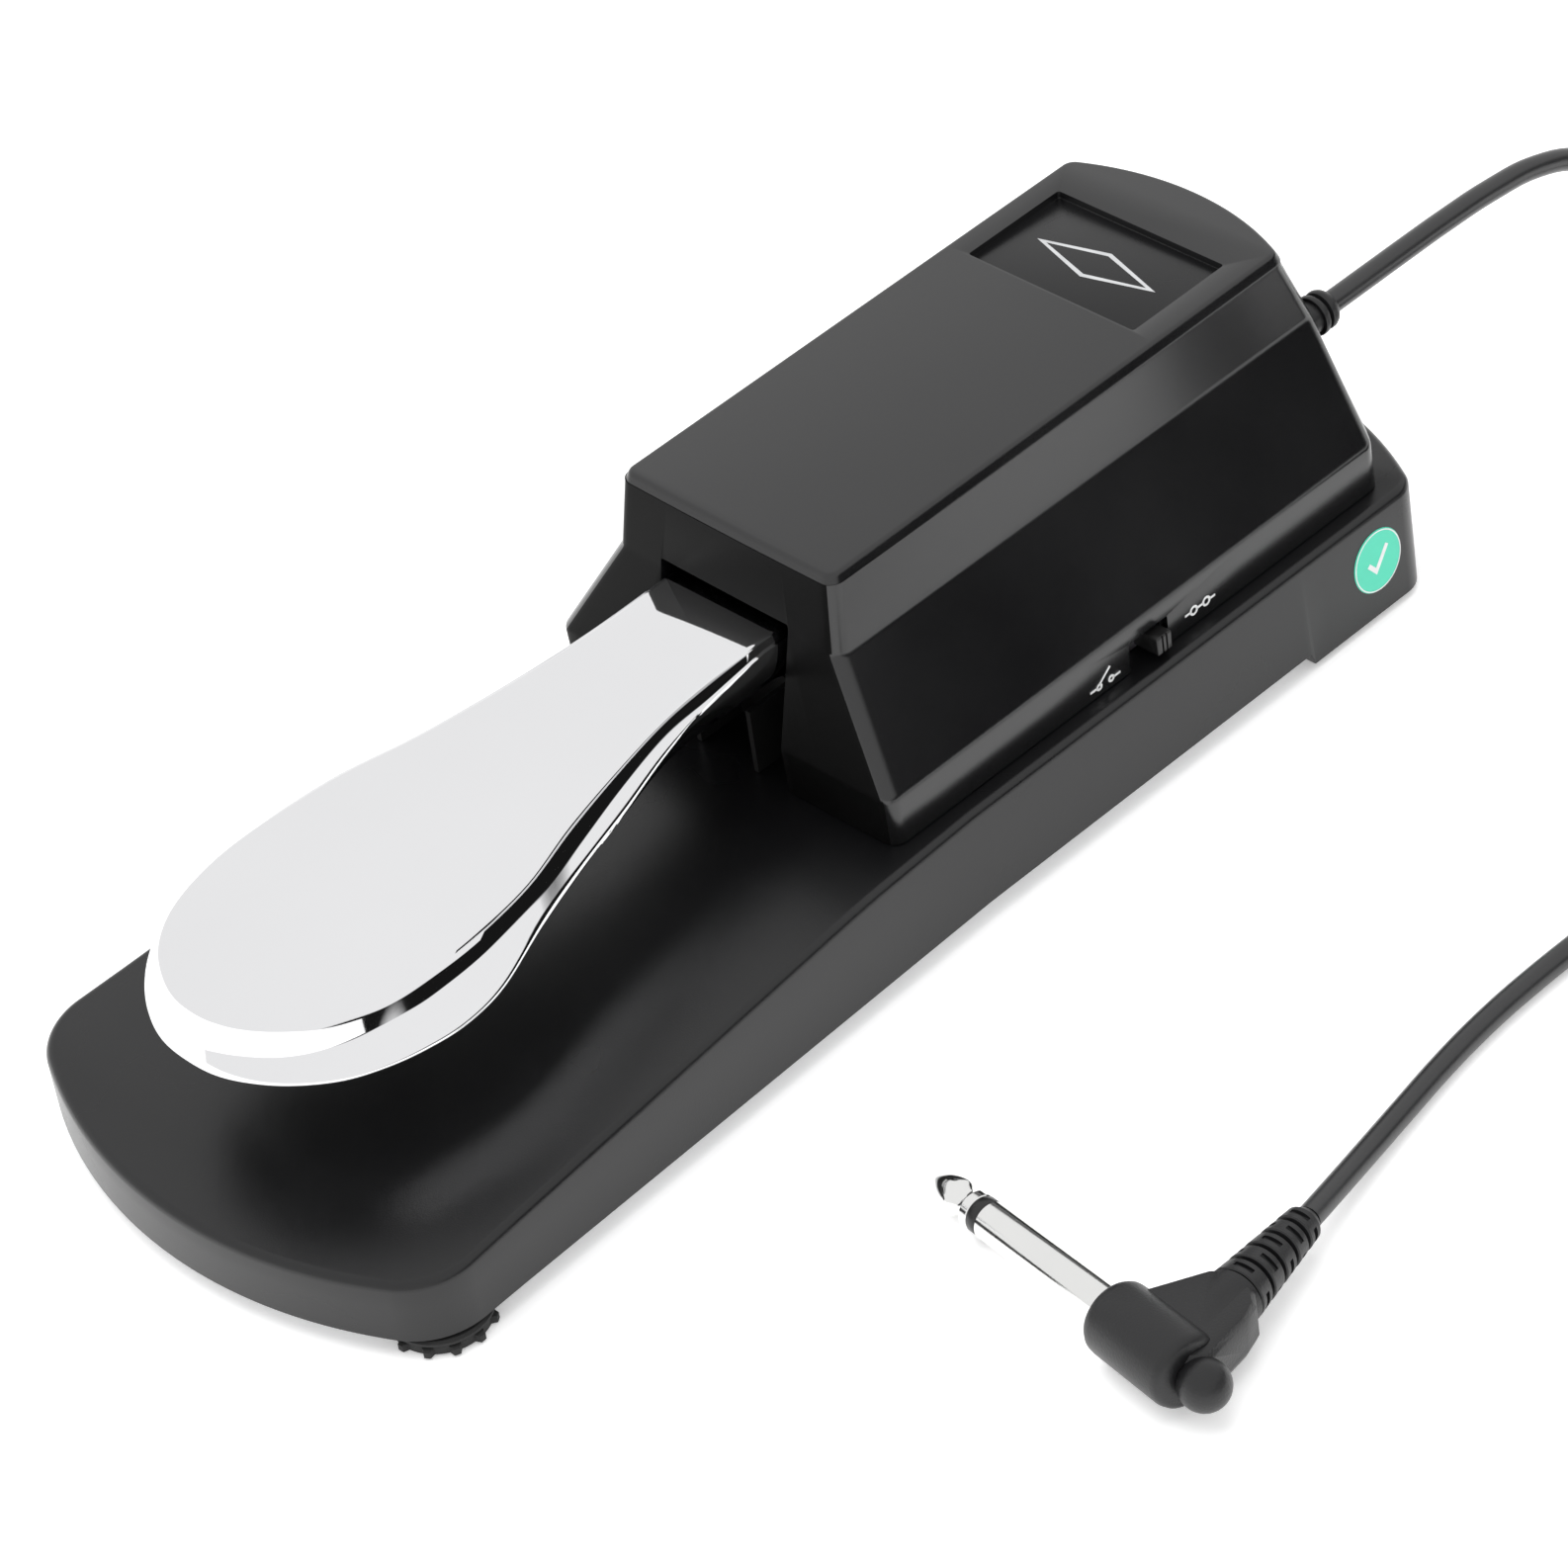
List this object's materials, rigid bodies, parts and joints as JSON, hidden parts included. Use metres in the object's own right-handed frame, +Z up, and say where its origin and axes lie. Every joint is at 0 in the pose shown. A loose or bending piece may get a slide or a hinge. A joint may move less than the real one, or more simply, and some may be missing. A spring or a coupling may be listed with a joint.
{
  "type": "sustain pedal",
  "caption": "Keyboard sustain pedal: weighted base with sloping deck, tapered housing, sprung chrome lever, polarity switch, and a cord with a right-angle plug.",
  "frame": {"origin": "on the floor below the middle of the pedal's outline", "axes": "+X to the player's right, +Y towards the cable end, +Z up"},
  "size_m": [0.1911, 0.3331, 0.0648],
  "materials": {
    "grey_plastic": "fine textured moulding",
    "black_plastic": "satin textured moulding",
    "chrome": "polished plating",
    "steel": "zinc plated",
    "black_rubber": "matt",
    "cord_jacket": "smooth flexible jacket",
    "nylon": "natural",
    "board": "solder mask",
    "red_plastic": "moulded",
    "knob_plastic": "moulded",
    "green_sticker": "printed film",
    "silver_label": "satin",
    "plug_metal": "nickel plated"
  },
  "bodies": {
    "pedal_frame": {"base_shell": "grey_plastic", "bottom_plate": "steel", "foot_front_left": "black_rubber", "foot_front_right": "black_rubber", "foot_rear_left": "black_rubber", "foot_rear_right": "black_rubber", "plate_screw_front_left": "steel", "plate_screw_front_right": "steel", "plate_screw_rear_left": "steel", "plate_screw_rear_right": "steel", "housing_screw_front_left": "steel", "housing_screw_front_right": "steel", "housing_screw_rear_left": "steel", "housing_screw_rear_right": "steel", "inspection_sticker": "green_sticker", "upper_housing": "black_plastic", "label_plate": "silver_label", "cable_grommet": "black_rubber", "inner_cable": "cord_jacket", "pivot_bracket": "steel", "hinge_pin": "steel", "rest_stop_pad": "black_rubber", "stop_block": "black_plastic", "bottom_stop_pad": "black_rubber", "spring_seat": "nylon", "return_spring": "steel", "circuit_board": "board", "board_screw_1": "steel", "board_screw_2": "steel", "contact_switch": "black_plastic", "polarity_switch_body": "steel", "cable_clamp": "nylon", "cord_grommet_run": "cord_jacket", "cord_plug_run": "cord_jacket", "cord_coil": "cord_jacket", "plug_tip": "plug_metal", "plug_insulator": "nylon", "plug_sleeve": "plug_metal", "plug_body": "black_rubber", "plug_strain_relief": "black_rubber"},
    "lever": {"lever": "chrome", "lever_bush_left": "nylon", "lever_bush_right": "nylon"},
    "plunger": {"switch_plunger": "red_plastic"},
    "polarity_knob": {"polarity_switch_knob": "knob_plastic"}
  },
  "joints": [
    {"name": "lever_hinge", "type": "hinge", "parent": "pedal_frame", "child": "lever", "pos_m": [0, 0.035, 0.044], "axis": [1, 0, 0], "range_deg": [0, 7], "stiffness_Nm_per_rad": 5, "springref_deg": -6.88, "deforming": ["return_spring"]},
    {"name": "plunger_slide", "type": "slide", "parent": "pedal_frame", "child": "plunger", "axis": [0, 0, 1], "range_m": [0, 0.0015]},
    {"name": "polarity_slide", "type": "slide", "parent": "pedal_frame", "child": "polarity_knob", "axis": [0, 1, 0], "range_m": [-0.0038, 0]}
  ],
  "couplings": [
    {"joint": "plunger_slide", "follows": "lever_hinge", "m_per_rad": 0.0117}
  ]
}
